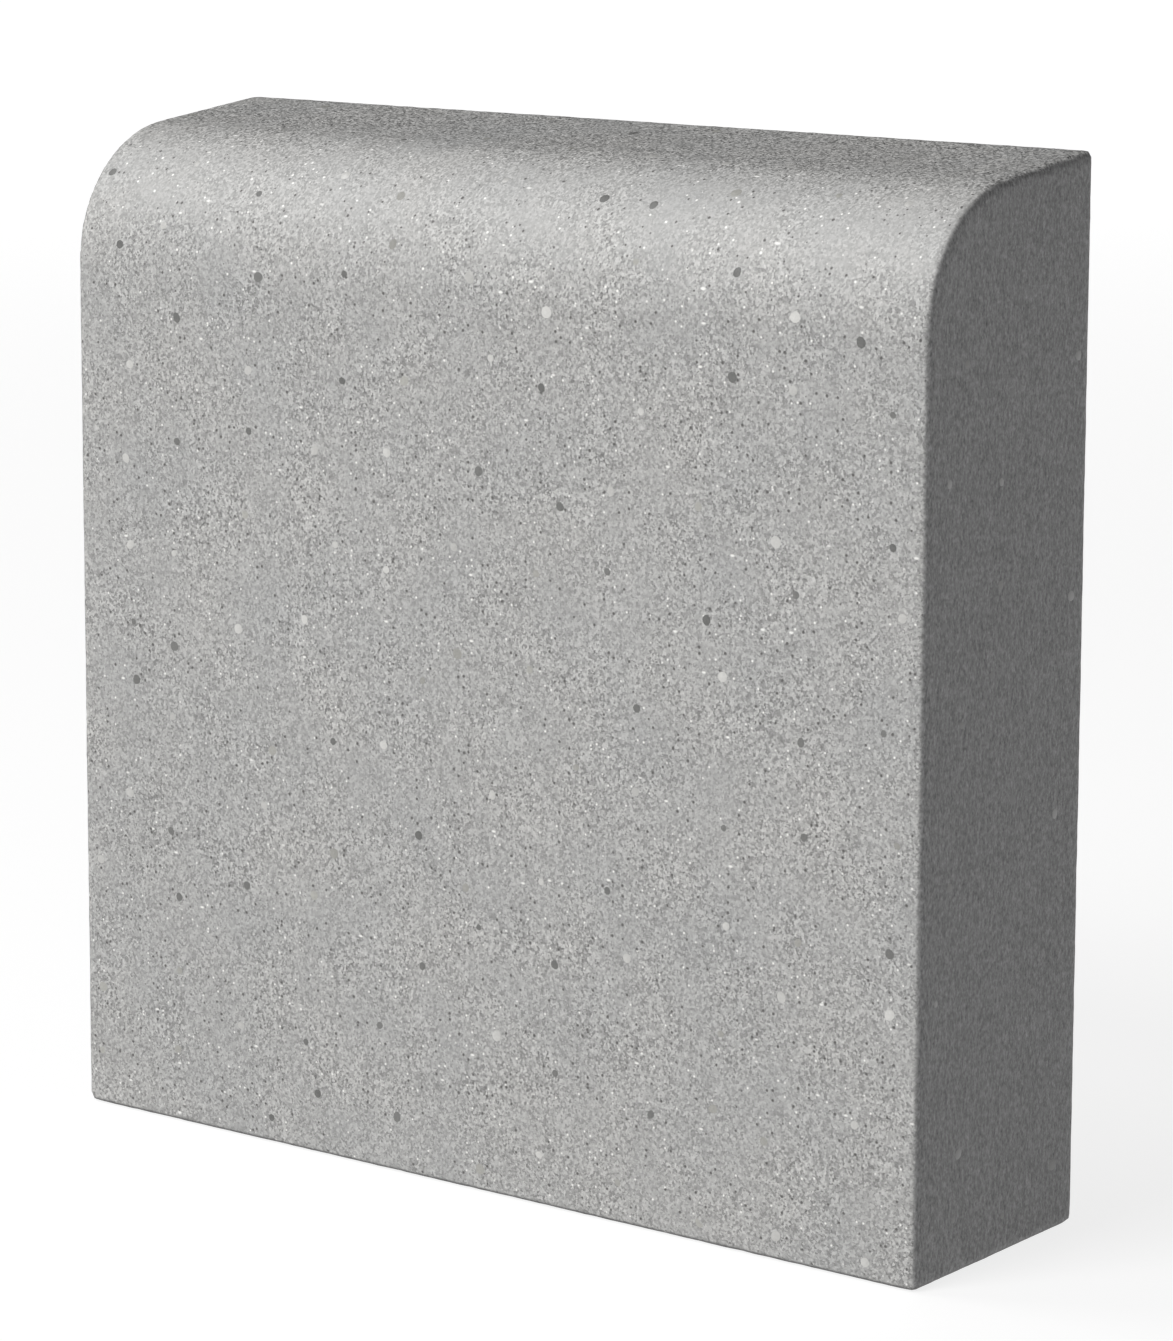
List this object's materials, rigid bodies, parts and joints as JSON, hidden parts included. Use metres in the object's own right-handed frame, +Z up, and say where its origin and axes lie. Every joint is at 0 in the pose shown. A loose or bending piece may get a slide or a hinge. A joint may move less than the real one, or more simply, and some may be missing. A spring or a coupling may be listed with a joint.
{
  "type": "precast concrete kerb unit",
  "caption": "Short upright concrete kerb block with a quarter-round nose along its front top edge, a slightly falling top face and aggregate stones showing flush in the surface.",
  "frame": {"origin": "middle of the bed face, under the centre of the bounding box", "axes": "+X along the kerb line, +Y from the front face to the back face, +Z up from the bed face to the top"},
  "size_m": [0.3, 0.08, 0.2998],
  "materials": {
    "concrete": "fine cast concrete, matt",
    "basalt": "pressed flush, matt",
    "limestone": "pressed flush, matt",
    "quartz": "pressed flush, satin"
  },
  "bodies": {
    "root": {"kerb_body": "concrete", "dark_stones": "basalt", "grey_stones": "limestone", "pale_stones": "quartz"}
  },
  "joints": []
}
